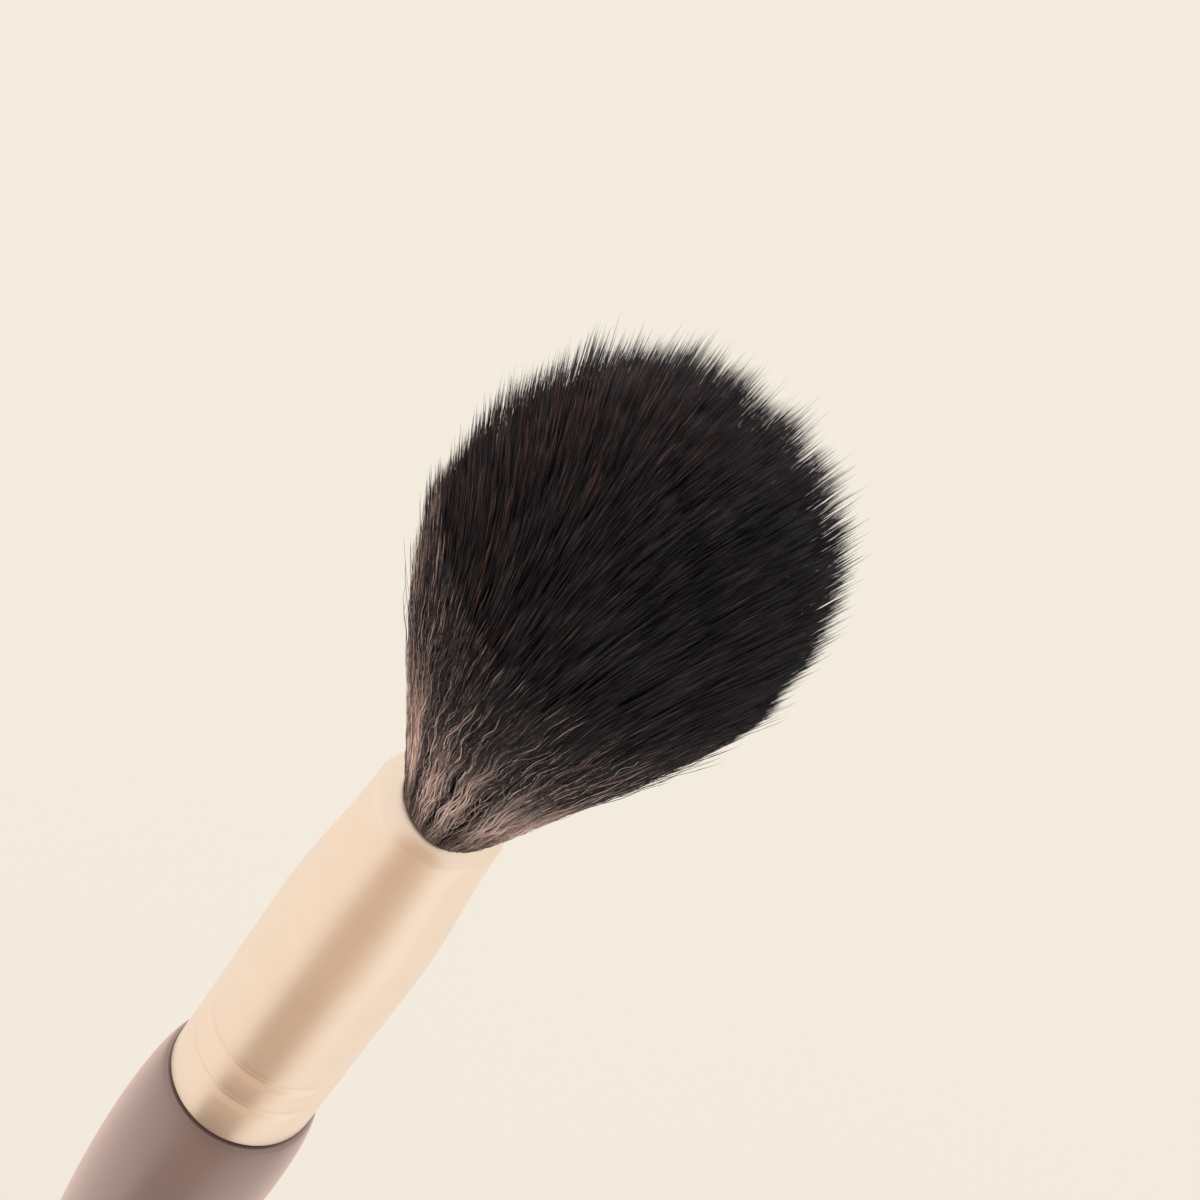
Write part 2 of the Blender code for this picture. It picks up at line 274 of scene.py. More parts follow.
# The root's light tints are partly the hair's own brown and partly a painted sheen
LONG_ROOT_TINTS = (
    (0.0, (0.058, 0.048, 0.050)),
    (0.2, (0.190, 0.158, 0.160)),
    (0.5, (0.800, 0.625, 0.595)),
    (0.9, (0.920, 0.670, 0.605)),
    (1.0, (0.920, 0.600, 0.510)),
)
# Tints over 0.91 are the red-brown hairs' painted glints
LONG_TIP_TINTS = (
    (0.0, (0.050, 0.0475, 0.0560)),
    (0.91, (0.056, 0.0530, 0.0620)),
    (0.94, (0.130, 0.071, 0.066)),
    (1.0, (0.280, 0.147, 0.125)),
)
LOOSE_ROOT_TINTS = (
    (0.0, (0.250, 0.185, 0.165)),
    (0.5, (0.520, 0.390, 0.345)),
    (1.0, (0.800, 0.610, 0.540)),
)
LOOSE_TIP_TINTS = (
    (0.0, (0.160, 0.105, 0.093)),
    (0.5, (0.420, 0.300, 0.265)),
    (1.0, (0.850, 0.690, 0.620)),
)
INSIDE_ROUGHNESS_SPREAD = 0.05
# For the nodes in the ferrule: the finish's name, its dark and light tones, its roughness, and the
# scale and depth of its grain
INSIDE_FINISHES = {
    "tenon_glue": ("wood_glue", (0.70, 0.62, 0.46), (0.82, 0.76, 0.60), 0.45, 300, 0.00003),
    "root_glue_plug": ("epoxy", (0.50, 0.37, 0.17), (0.62, 0.48, 0.25), 0.30, 250, 0.00003),
    "binding_thread": ("waxed_thread", (0.55, 0.48, 0.36), (0.74, 0.68, 0.56), 0.75, 2500, 0.00004),
    "hair_root": ("packed_hair", (0.006, 0.005, 0.005), (0.030, 0.022, 0.020), 0.60, 1800, 0.00006),
}

# Studio. The graded paper's stops run over the ratio of X to Y, so they fan out from the brush.
FLOOR_DARK = (0.862, 0.831, 0.795)
FLOOR_LIGHT = (0.868, 0.837, 0.801)
FLOOR_RADIUS = 12
FLOOR_SIDES = 96
GRADED_RANGE = (-2.5, 1.5)
GRADED_STOPS = (
    (0.0, (0.94, 0.95, 0.96)),
    (0.32, (0.86, 0.832, 0.800)),
    (0.43, (0.71, 0.615, 0.530)),
    (0.55, (0.61, 0.490, 0.405)),
    (0.675, (0.61, 0.490, 0.405)),
    (0.78, (0.865, 0.835, 0.798)),
)
GRADED_HEIGHT = 0.001
GRADED_OUTLINE = ((-2.5, -2.5), (2.5, -2.5), (0.9, -0.02), (-0.9, -0.02))
UPRIGHT_CORNERS = ((-2.5, -2.5, 0.001), (2.5, -2.5, 0.001), (2.5, -2.5, 3.2), (-2.5, -2.5, 3.2))
NEAR_DARK = (0.20, 0.17, 0.155)
NEAR_LIGHT = (0.22, 0.19, 0.175)
NEAR_HEIGHT = 0.002
NEAR_OUTLINE = ((-0.030, -0.068), (0.042, -0.062), (0.028, -0.030), (-0.020, -0.030))
WORLD_COLOUR = (1.0, 0.955, 0.865, 1)
WORLD_STRENGTH = 0.87
LIGHT_DISTANCE = 4.5
LIGHT_SIZE = 6.0
# Each light's name, azimuth, elevation, power and colour
LIGHTS = (
    ("left", -78, 35, 84, (1.0, 0.98, 0.95)),
    ("right", 100, 40, 14, (1.0, 0.99, 0.97)),
)

rng = np.random.default_rng(11)


def placed(name, data):
    """An object of this data, linked into the scene."""
    obj = bpy.data.objects.new(name, data)
    bpy.context.scene.collection.objects.link(obj)
    return obj


# Profiles of the turned pieces


def spread(low, high, count):
    return [low + (high - low) * index / (count - 1) for index in range(count)]


def arc(centre, radii, start_degrees, end_degrees, steps):
    """Points of an ellipse's arc in the section plane, both ends included."""
    points = []
    for step in range(steps + 1):
        angle = math.radians(start_degrees + (end_degrees - start_degrees) * step / steps)
        across, up = radii[0] * math.cos(angle), radii[1] * math.sin(angle)
        points.append((centre[0] + across, centre[1] + up))
    return points


def eased(share):
    share = min(1.0, max(0.0, share))
    return (1 - math.cos(math.pi * share)) / 2


def crimp_inset(height):
    inset = 0.0
    for ring in CRIMP_HEIGHTS:
        offset = abs(height - EDGE_Z - ring) / (CRIMP_WIDTH / 2)
        inset += CRIMP_DEPTH * (1 - eased(offset))
    return inset


def outer_radius(height):
    taper = eased((height - (MOUTH_Z - TAPER_LENGTH)) / TAPER_LENGTH)
    return FERRULE_RADIUS + (MOUTH_RADIUS - FERRULE_RADIUS) * taper - crimp_inset(height)


def bore_radius(height):
    lip_z = MOUTH_Z - LIP_ROLL
    lip_share = eased((height - (lip_z - LIP_BLEND_LENGTH)) / LIP_BLEND_LENGTH)
    lip_thickness = SHOULDER_WIDTH + LIP_ROLL
    return outer_radius(height) - FERRULE_WALL - (lip_thickness - FERRULE_WALL) * lip_share


def wall_levels(low, high):
    """Heights from low to high, close together at the crimped rings and in the taper."""
    levels = [low, high]
    for ring in CRIMP_HEIGHTS:
        middle = EDGE_Z + ring
        levels += spread(middle - CRIMP_WIDTH / 2, middle + CRIMP_WIDTH / 2, CRIMP_LEVELS)
    taper_z = MOUTH_Z - TAPER_LENGTH
    levels += spread(EDGE_Z + CRIMP_HEIGHTS[-1] + CRIMP_WIDTH, taper_z, TUBE_LEVELS)
    levels += spread(taper_z, MOUTH_Z, TAPER_LEVELS)
    return sorted(level for level in set(levels) if low <= level <= high)


def ferrule_outline():
    edge = EDGE_ROUND
    crest = MOUTH_RADIUS - SHOULDER_WIDTH
    shoulder_z = MOUTH_Z - SHOULDER_HEIGHT
    lip_z = MOUTH_Z - LIP_ROLL
    outline = arc((FERRULE_RADIUS - edge, EDGE_Z + edge), (edge, edge), -100, 0, 5)
    outline += [(outer_radius(z), z) for z in wall_levels(EDGE_Z + edge, shoulder_z)[1:-1]]
    for angle in spread(0, math.pi / 2, SHOULDER_POINTS):
        out = abs(math.cos(angle)) ** (2 / SHOULDER_FULLNESS)
        up = math.sin(angle) ** (2 / SHOULDER_FULLNESS)
        radius = crest + (outer_radius(shoulder_z) - crest) * out
        outline.append((radius, shoulder_z + SHOULDER_HEIGHT * up))
    outline += arc((crest, lip_z), (crest - bore_radius(lip_z), LIP_ROLL), 90, 180, 10)[1:]
    outline += [(bore_radius(z), z) for z in reversed(wall_levels(EDGE_Z, lip_z)[:-1])]
    return outline


def handle_outline():
    shoulder = FERRULE_RADIUS + SHOULDER_STEP
    shoulder_z = EDGE_Z - CLEARANCE
    belly_z = EDGE_Z - BELLY_DROP
    bulge = BELLY_RADIUS - shoulder
    tail = (TAIL_RADIUS - END_FLAT_RADIUS, TAIL_ROUNDING)
    outline = [(0, 0)] + arc((END_FLAT_RADIUS, TAIL_ROUNDING), tail, -90, 0, 16)
    for height in spread(TAIL_ROUNDING, belly_z, SWELL_LEVELS)[1:]:
        share = (height - TAIL_ROUNDING) / (belly_z - TAIL_ROUNDING)
        swell = eased(share**SWELL_SHARPNESS)
        outline.append((TAIL_RADIUS + (BELLY_RADIUS - TAIL_RADIUS) * swell, height))
    curve = arc((shoulder, belly_z), (bulge, shoulder_z - belly_z), 0, 90, 40)[1:]
    outline += [point for point in curve if point[1] < shoulder_z - SHOULDER_ROUND]
    outline += [(shoulder, shoulder_z)]
    tenon = bore_radius(EDGE_Z) - CLEARANCE
    outline += [(tenon, shoulder_z)]
    gripped = wall_levels(EDGE_Z, EDGE_Z + GRIPPED_LENGTH)[1:]
    outline += [(bore_radius(z) - CLEARANCE, z) for z in gripped]
    glued = tenon - GLUE_SPACE
    outline += [(glued, EDGE_Z + GLUED_START), (glued, TENON_TOP_Z - TENON_CHAMFER)]
    outline += [(glued - TENON_CHAMFER, TENON_TOP_Z), (0, TENON_TOP_Z)]
    return outline


def turned(name, outline, finish):
    """A smooth solid of an outline turned about the brush's axis."""
    bm = bmesh.new()
    points = [bm.verts.new((radius, 0, height)) for radius, height in outline]
    for first, second in zip(points, points[1:]):
        bm.edges.new((first, second))
    if outline[0][0] > 0:
        bm.edges.new((points[-1], points[0]))
    bmesh.ops.spin(
        bm,
        geom=bm.verts[:] + bm.edges[:],
        cent=(0, 0, 0),
        axis=(0, 0, 1),
        angle=math.tau,
        steps=SIDES,
        use_merge=True,
    )
    bmesh.ops.remove_doubles(bm, verts=bm.verts, dist=MERGE_DISTANCE)
    bmesh.ops.recalc_face_normals(bm, faces=bm.faces)
    mesh = bpy.data.meshes.new(name)
    bm.to_mesh(mesh)
    bm.free()
    mesh.materials.append(finish)
    mesh.shade_smooth()
    mesh.set_sharp_from_angle(angle=SHARP_ANGLE)
    return placed(name, mesh)


# Materials


class Finish:
    """A material and a short way to add nodes to it."""

    def __init__(self, name):
        self.material = bpy.data.materials.new(name)
        self.material.use_nodes = True
        self.tree = self.material.node_tree
        self.shader = self.tree.nodes["Principled BSDF"]

    def node(self, kind, **settings):
        made = self.tree.nodes.new(kind)
        for key, value in settings.items():
            setattr(made, key, value)
        return made

    def link(self, source, target):
        self.tree.links.new(source, target)

    def set(self, **values):
        """Sets sockets of the shader: Base_Color=... stands for Base Color."""
        for key, value in values.items():
            colour = isinstance(value, tuple) and len(value) == 3
            socket = self.shader.inputs[key.replace("_", " ")]
            socket.default_value = (*value, 1) if colour else value

    def noise(self, scale, detail=3.0, stretch=(1, 1, 1)):
        """Noise in the object's own space, as a number round 0.5."""
        place = self.node("ShaderNodeTexCoord")
        mapping = self.node("ShaderNodeMapping")
        mapping.inputs["Scale"].default_value = stretch
        noise = self.node("ShaderNodeTexNoise")
        noise.inputs["Scale"].default_value = scale
        noise.inputs["Detail"].default_value = detail
        self.link(place.outputs["Object"], mapping.inputs["Vector"])
        self.link(mapping.outputs["Vector"], noise.inputs["Vector"])
        return noise.outputs["Fac"]

    def scaled(self, value, low, high, to_low=0.0, to_high=1.0):
        """The value's range low to high, stretched to another range and clamped to it."""
        mapped = self.node("ShaderNodeMapRange")
        numbers = {"From Min": low, "From Max": high, "To Min": to_low, "To Max": to_high}
        for key, number in numbers.items():
            mapped.inputs[key].default_value = number
        self.link(value, mapped.inputs["Value"])
        return mapped.outputs["Result"]

    def ramp(self, value, low, high, *stops):
        """Colours from stops of (position, colour), after value's range low to high."""
        ramp = self.node("ShaderNodeValToRGB")
        while len(ramp.color_ramp.elements) < len(stops):
            ramp.color_ramp.elements.new(0.5)
        for element, (position, colour) in zip(ramp.color_ramp.elements, stops):
            element.position = position
            element.color = (*colour, 1)
        self.link(self.scaled(value, low, high), ramp.inputs["Fac"])
        return ramp.outputs["Color"]

    def times(self, colour, factor):
        product = self.node("ShaderNodeMix", data_type="RGBA", blend_type="MULTIPLY")
        product.inputs["Factor"].default_value = 1.0
        self.link(colour, product.inputs[MIX_FIRST])
        self.link(factor, product.inputs[MIX_SECOND])
        return product.outputs[MIX_RESULT]

    def mottle(self, noise, dark, light):
        """Colours the surface between two tones, after a noise."""
        colour = self.ramp(noise, *NOISE_RANGE, (0.0, dark), (1.0, light))
        self.link(colour, self.shader.inputs["Base Color"])

    def roughen(self, noise, low, high):
        """Makes the roughness run from low to high, after a noise."""
        self.link(self.scaled(noise, *NOISE_RANGE, low, high), self.shader.inputs["Roughness"])

    def bump(self, height, depth, strength=1.0):
        bump = self.node("ShaderNodeBump")
        bump.inputs["Distance"].default_value = depth
        bump.inputs["Strength"].default_value = strength
        self.link(height, bump.inputs["Height"])
        self.link(bump.outputs["Normal"], self.shader.inputs["Normal"])


def rose_gold():
    finish = Finish("rose_gold_metal")
    finish.set(Metallic=1.0)
    cloud = finish.noise(240, 3)
    grain = finish.noise(900, 2, (1, 1, 7))
    finish.mottle(cloud, (0.985, 0.825, 0.71), (1.0, 0.85, 0.735))
    finish.roughen(grain, 0.30, 0.38)
    finish.bump(grain, 0.000003, 0.6)
    return finish.material


def plum_lacquer():
    finish = Finish("plum_lacquer")
    finish.set(Metallic=0.62, Coat_Weight=0.4, Coat_Roughness=0.32)
    finish.set(Sheen_Weight=1.0, Sheen_Roughness=0.42, Sheen_Tint=(1.0, 0.74, 0.72))
    cloud = finish.noise(150, 4)
    peel = finish.noise(700, 2)
    finish.mottle(cloud, (0.250, 0.176, 0.171), (0.271, 0.192, 0.186))
    finish.roughen(cloud, 0.36, 0.44)
    finish.bump(peel, 0.000006, 0.5)
    return finish.material


def plain_finish(name, dark, light, roughness, scale, depth):
    """For the pieces inside the ferrule: two mottled tones with a fine bump."""
    finish = Finish(name)
    cloud = finish.noise(scale, 4)
    finish.mottle(cloud, dark, light)
    low, high = roughness - INSIDE_ROUGHNESS_SPREAD, roughness + INSIDE_ROUGHNESS_SPREAD
    finish.roughen(cloud, low, high)
    finish.bump(cloud, depth)
    return finish.material


def hair_finish(name, root_tints, tip_tints, fade_from, fade_to):
    """Colour by the hair's tint (u) and by the share of its length (v): the root's tints turn into
    the tip's from fade_from to fade_to. The tip's tints are darkened towards mid-length as painted
    shade, and the colour is darkened near the mouth as painted shade in the crevice."""
    finish = Finish(name)
    finish.set(Roughness=HAIR_ROUGHNESS, Specular_IOR_Level=HAIR_SPECULAR)
    place = finish.node("ShaderNodeUVMap", uv_map="OFBake")
    parts = finish.node("ShaderNodeSeparateXYZ")
    finish.link(place.outputs["UV"], parts.inputs["Vector"])
    root = finish.ramp(parts.outputs["X"], 0, 1, *root_tints)
    tip = finish.ramp(parts.outputs["X"], 0, 1, *tip_tints)
    # Painted shade: the tip's tints darken towards mid-length
    tip = finish.times(tip, finish.scaled(parts.outputs["Y"], *TIP_PAINTED_SHADE))
    blend = finish.node("ShaderNodeMix", data_type="RGBA")
    finish.link(finish.scaled(parts.outputs["Y"], fade_from, fade_to), blend.inputs["Factor"])
    finish.link(root, blend.inputs[MIX_FIRST])
    finish.link(tip, blend.inputs[MIX_SECOND])
    # Painted shade in the crevice at the mouth: the lower the hair stands, the darker its colour
    where = finish.node("ShaderNodeTexCoord")
    heights = finish.node("ShaderNodeSeparateXYZ")
    finish.link(where.outputs["Object"], heights.inputs["Vector"])
    above = finish.scaled(heights.outputs["Z"], MOUTH_Z, MOUTH_Z + CREVICE_PAINTED_SHADE_HEIGHT)
    shade = finish.ramp(above, 0, 1, *((place, (grey,) * 3) for place, grey in CREVICE_PAINTED_SHADE_STOPS))
    colour = finish.times(blend.outputs[MIX_RESULT], shade)
    finish.link(colour, finish.shader.inputs["Base Color"])
    return finish.material


# Hair


def smooth(share):
    share = np.clip(share, 0, 1)
    return share * share * (3 - 2 * share)


def rise(value, start, width):
    """Runs smoothly from 0 at start to 1 at start + width."""
    return smooth((value - start) / width)


def wrapped(angle):
    return (angle + math.pi) % math.tau - math.pi


def bell(angle, middle, width):
    """1 at an angle round the brush, falling smoothly to 0 on both sides of it."""
    return np.exp(-((wrapped(angle - middle) / width) ** 2))


def leftness(angle, width):
    return bell(angle, LEFT_ANGLE, width)


def head_radius(share):
    low = np.clip(share / BELLY_SHARE, 0, 1)
    swelling = np.sin(math.pi / 2 * low**FLARE_POWER)
    flare = HAIR_MOUTH_RADIUS + (HEAD_RADIUS - HAIR_MOUTH_RADIUS) * swelling
    dome = np.clip((share - BELLY_SHARE) / (1 - BELLY_SHARE), 0, 1)
    closing = HEAD_RADIUS * (1 - dome**DOME_POWER) ** (1 / DOME_POWER)
    return np.where(share < BELLY_SHARE, flare, closing)


def fan_radius(share):
    spreading = np.sin(math.pi / 2 * np.clip(share, 0, 1) ** FLARE_POWER)
    return HAIR_MOUTH_RADIUS + (FAN_RADIUS - HAIR_MOUTH_RADIUS) * spreading


def end_share(rim_share):
    """The height at which a hair of this rim share meets the head's outline."""
    low = np.full_like(rim_share, LOWEST_END)
    high = np.ones_like(rim_share)
    for _ in range(END_HALVINGS):
        middle = (low + high) / 2
        inside = rim_share * fan_radius(middle) < head_radius(middle)
        low = np.where(inside, middle, low)
        high = np.where(inside, high, middle)
    return low


def disc_points(count, inner, outer):
    """Random points of a ring of the unit disc, evenly dense."""
    rim = np.sqrt(rng.uniform(inner**2, outer**2, count))
    angle = rng.uniform(0, math.tau, count)
    return np.stack([rim * np.cos(angle), rim * np.sin(angle)], 1)


def rim_and_angle(roots):
    return np.linalg.norm(roots, axis=1), np.arctan2(roots[:, 1], roots[:, 0])


def nearest(points, centres):
    """The index of each point's nearest centre, found for a batch of points at a time."""
    found = np.empty(len(points), int)
    batch = 2000
    for start in range(0, len(points), batch):
        part = points[start : start + batch]
        gap = ((part[:, None] - centres[None]) ** 2).sum(2)
        found[start : start + batch] = gap.argmin(1)
    return found


def gathered(angle, centres):
    """The index of each angle's nearest centre round the brush, and the turn towards it."""
    index = np.abs(wrapped(centres[None] - angle[:, None])).argmin(1)
    return index, wrapped(centres[index] - angle)


def crown(off, number):
    """1 on the middle of one of this number of gatherings round the brush, less beside it."""
    return np.cos(np.clip(off * number / CROWN_WIDTH, -math.pi, math.pi))


def hollow(off, number):
    """0 on the middle of one of this number of gatherings, 1 half-way to the next."""
    return np.clip(np.abs(off) * number / math.pi, 0, HOLLOW_LIMIT) ** 2


def wave_along(height, of, phases, lengths):
    """The phase at these heights, in the wave of the gathering or group that each hair is of."""
    return phases[of][:, None] + math.tau * height / lengths[of][:, None]


def rotated(flat, turn):
    across, along = flat[:, :, 0], flat[:, :, 1]
    cos, sin = np.cos(turn), np.sin(turn)
    return np.stack([across * cos - along * sin, across * sin + along * cos], 2)


def mouth_reach(angle):
    """How far the hair leans out over the ferrule's lip: most at the front and the right, and
    least at the left and the back."""
    reach = REACH_MEAN + REACH_SWING * np.cos(angle + REACH_TURN)
    reach = reach - REACH_LEFT_DROP * bell(angle, REACH_LEFT, REACH_LEFT_WIDTH)
    return reach + REACH_FRONT_RISE * bell(angle, REACH_FRONT, REACH_FRONT_WIDTH)


def levels_of(length, shares):
    """Heights over the mouth and in the part's frame, for points at these shares of the hairs."""
    start = HAIR_START_DEPTH / HAIR_LENGTH
    level = -start + (length[:, None] + start) * shares[None, :]
    return np.clip(level, 0, None), MOUTH_Z + HAIR_LENGTH * level


def hair_lines(roots, ends, height):
    """Where hairs that start at these points of the unit disc stand at these heights. Each one
    leaves the mouth outwards, and ends on the head's outline with its tip splayed outwards."""
    rim, angle = rim_and_angle(roots)
    reach = mouth_reach(angle)
    top = end_share(rim)
    end = ends * fan_radius(top)[:, None]
    end[:, 0] += HEAD_OFFSET + TOP_OFFSET * rise(top, *TOP_ZONE)
    splay = end - np.array(SPLAY_MIDDLE)
    away = np.linalg.norm(splay, axis=1)
    end_slope = END_SLOPE - END_SLOPE_SWING * np.cos(angle)
    splay *= (end_slope * np.tanh(away / SPLAY_REACH) / away)[:, None]
    start = roots * (HAIR_ROOT_RADIUS + reach)[:, None]
    long = (HAIR_LENGTH * top)[:, None, None]
    u = height / top[:, None]
    past = (np.clip(u, 1, None) - 1)[:, :, None]
    u = np.clip(u, 0, 1)[:, :, None]
    flat = (2 * u**3 - 3 * u**2 + 1) * start[:, None] + (3 * u**2 - 2 * u**3) * end[:, None]
    slope = START_SLOPE + START_SLOPE_SWING * np.cos(angle)
    flat = flat + (u**3 - 2 * u**2 + u) * long * (roots * slope[:, None])[:, None]
    flat = flat + (u**3 - u**2 + past) * long * splay[:, None]
    inside = 1 - rise(height, 0, MOUTH_ZONE)
    return flat - (roots * reach[:, None])[:, None] * inside[:, :, None]


def hair_paths(roots, shares, length):
    """The middle lines of long hairs that start at these points of the unit disc, as an array of
    (hair, point, xyz), and their tints. length is each hair's length as a share of the whole."""
    count = len(roots)
    t = shares[None, :]
    height, z = levels_of(length, shares)
    rim, angle = rim_and_angle(roots)
    radial = np.stack([np.cos(angle), np.sin(angle)], 1)[:, None, :]
    around = np.stack([-np.sin(angle), np.cos(angle)], 1)[:, None, :]

    tuft_of = nearest(roots, TUFTS)
    pull = TUFT_PULL[tuft_of][:, None]
    flat = hair_lines(roots, roots + (TUFTS[tuft_of] - roots) * pull, height)

    lock_of, off_lock = gathered(angle, LOCK_ANGLE)
    strand_of, off_strand = gathered(angle, STRAND_ANGLE)
    growing = rise(rim, *OUTER_ZONE)[:, None] * rise(height, *GATHER_ZONE)
    gather = LOCK_PULL[lock_of][:, None] * growing * (1 - rise(height, *LOCK_FADE_ZONE))
    narrow = STRAND_PULL * growing * (1 - rise(height, *STRAND_FADE_ZONE))
    turn = off_lock[:, None] * gather + off_strand[:, None] * narrow * (1 - gather)
    flat = rotated(flat, turn)

    own_wave = math.tau * height / rng.uniform(*OWN_WAVES, count)[:, None]
    phase = rng.uniform(0, math.tau, (count, 3))
    own = rise(height, *OWN_ZONE) * (1 - OWN_CALM * rise(height, *OWN_CALM_ZONE))
    swing = OWN_SWING * own * np.sin(own_wave + phase[:, :1])
    lift = OWN_LIFT * own * np.sin(own_wave * 0.8 + phase[:, 1:2])
    lock_wave = wave_along(height, lock_of, LOCK_PHASE, LOCK_WAVE)
    strand_wave = wave_along(height, strand_of, STRAND_PHASE, STRAND_WAVE)
    common = rise(height, *COMMON_ZONE) * (1 - rise(height, *COMMON_FADE_ZONE))
    swing = swing + common * (LOCK_SWING * np.sin(lock_wave) + STRAND_SWING * np.sin(strand_wave))
    lock_lift = LOCK_LIFT * np.sin(lock_wave * 0.7 + 1.0)
    lift = lift + common * (lock_lift + STRAND_LIFT * np.sin(strand_wave * 0.8 + 2.0))
    hump = LOCK_RISE[lock_of] * crown(off_lock, LOCK_COUNT)
    hump = hump + STRAND_RISE[strand_of] * crown(off_strand, STRAND_COUNT)
    lift = lift + hump[:, None] * common * (rim[:, None] > HUMP_RIM)
    drift = rng.normal(0, DRIFT, (count, 2))
    drift = drift * (1 + FAR_DRIFT * (rng.random((count, 1)) < FAR_SHARE))
    stray = rise(t, *DRIFT_ZONE) ** 1.5
    lean = TUFT_LEAN[tuft_of][:, None, :] * (rise(t, *LEAN_ZONE) ** 2)[:, :, None]
    flat = flat + around * (swing + drift[:, :1] * stray)[:, :, None]
    flat = flat + radial * (lift + DRIFT_OUTWARDS * drift[:, 1:] * stray)[:, :, None]
    flat = flat + lean

    tint = LOCK_TINT_WEIGHT * LOCK_TINT[lock_of] + STRAND_TINT_WEIGHT * STRAND_TINT[strand_of]
    tint = tint + OWN_TINT_WEIGHT * rng.random(count)
    # Painted shade in the hollows between locks and between strands
    tint = TINT_GAIN * tint * (1 - LOCK_HOLLOW_PAINTED_SHADE * hollow(off_lock, LOCK_COUNT))
    tint = tint * (1 - STRAND_HOLLOW_PAINTED_SHADE * hollow(off_strand, STRAND_COUNT))
    # Painted light from the left: lighter tints on the left side
    tint = tint + LEFT_PAINTED_LIGHT * leftness(angle, LEFT_PAINTED_LIGHT_WIDTH)
    # Painted glints: red-brown hairs, more of them at the left as painted light from the left
    red = rng.random(count) < RED_PAINTED_GLINT_SHARE + LEFT_RED_PAINTED_GLINT_SHARE * leftness(angle, LEFT_RED_PAINTED_GLINT_WIDTH)
    red_tint = RED_START + RED_SPREAD * rng.random(count)
    tint = np.where(red, red_tint, TINT_LIMIT * tint.clip(0, 1))
    return np.concatenate([flat, z[:, :, None]], 2), tint


def loose_paths(shares):
    """Loose wavy hairs, alone or a few together, that lie on the head near the ferrule. Some start
    in the mouth and some come out of the hair higher up."""
    group_angle = rng.uniform(0, math.tau, LOOSE_GROUPS)
    from_mouth = rng.random(LOOSE_GROUPS) < LOOSE_FROM_MOUTH
    group_start = np.where(from_mouth, 0.0, rng.uniform(*LOOSE_STARTS, LOOSE_GROUPS))
    extra = rng.exponential(LOOSE_EXTRA_LENGTH, LOOSE_GROUPS).clip(0, LOOSE_EXTRA_LIMIT)
    group_length = LOOSE_LENGTH + extra
    group_wave = rng.uniform(*LOOSE_WAVES, LOOSE_GROUPS)
    group_phase = rng.uniform(0, math.tau, LOOSE_GROUPS)
    group_drift = rng.normal(0, LOOSE_DRIFT, LOOSE_GROUPS)
    group_tint = rng.random(LOOSE_GROUPS)
    group_size = rng.choice(LOOSE_SIZES, LOOSE_GROUPS, p=LOOSE_SIZE_ODDS)
    of = np.repeat(np.arange(LOOSE_GROUPS), group_size)
    count = len(of)
    t = shares[None, :]
    start = group_start[of]
    top = start + group_length[of] * rng.uniform(*LOOSE_LENGTH_SPREAD, count)
    low = np.where(start == 0, -HAIR_START_DEPTH / HAIR_LENGTH, start)[:, None]
    level = low + (top[:, None] - low) * t
    height = np.clip(level, 0, None)

    off = rng.normal(0, 1, count)
    angle = group_angle[of]
    roots = np.stack([np.cos(angle), np.sin(angle)], 1)
    flat = hair_lines(roots, roots, height)
    loose = rise(t, *LOOSE_ZONE)
    turn = (LOOSE_FANNING * off)[:, None] * (1 + 0.8 * loose)
    turn = turn + group_drift[of][:, None] * (height - start[:, None]) * loose
    flat = rotated(flat, turn)
    radial = flat / np.linalg.norm(flat, axis=2, keepdims=True)
    around = np.stack([-radial[:, :, 1], radial[:, :, 0]], 2)

    waving = rise(height, *LOOSE_WAVE_ZONE)
    starting = rise(t, *LOOSE_RISE_ZONE)
    wave = wave_along(height, of, group_phase, group_wave)
    own_wave = math.tau * height / rng.uniform(*LOOSE_OWN_WAVES, count)[:, None]
    phase = rng.uniform(0, math.tau, (count, 2))
    own_swing = LOOSE_OWN_SWING * (0.3 + loose) * np.sin(own_wave + phase[:, :1])
    swing = waving * (LOOSE_SWING * np.sin(wave) + own_swing)
    swing = swing + rng.normal(0, LOOSE_SIDE_DRIFT, (count, 1)) * loose
    own_lift = LOOSE_OWN_LIFT * np.sin(own_wave + phase[:, 1:])
    lift = waving * (LOOSE_LIFT * np.sin(wave * 0.8 + 2.0) + own_lift)
    lift = lift + rng.uniform(*LOOSE_RISES, count)[:, None] * waving * starting
    lift = lift - np.where(start > 0, LOOSE_START_DEPTH, 0)[:, None] * (1 - starting)
    flat = flat + radial * lift[:, :, None] + around * swing[:, :, None]
    z = MOUTH_Z + HAIR_LENGTH * level
    tint = LOOSE_GROUP_TINT_WEIGHT * group_tint[of] + LOOSE_OWN_TINT_WEIGHT * rng.random(count)
    return np.concatenate([flat, z[:, :, None]], 2), tint


def full_lengths(roots):
    """Lengths of hairs that reach the outline of the head, ragged by tuft and by hair."""
    rim, _ = rim_and_angle(roots)
    tuft_of = nearest(roots, TUFTS)
    gap = np.linalg.norm(roots - TUFTS[tuft_of], axis=1)
    length = end_share(rim) + TUFT_LENGTH[tuft_of] - gap * TUFT_DOMING
    length += rng.normal(0, RAGGEDNESS, len(roots))
    wisp = rng.random(len(roots)) < WISP_SHARE
    longer = rng.exponential(WISP_LENGTH, len(roots)).clip(0, WISP_LIMIT)
    return length + np.where(wisp, longer, 0)


def thicknesses(count, middle):
    low, high = THICKNESS_LIMITS
    return rng.normal(middle, middle * THICKNESS_SPREAD, count).clip(middle * low, middle * high)


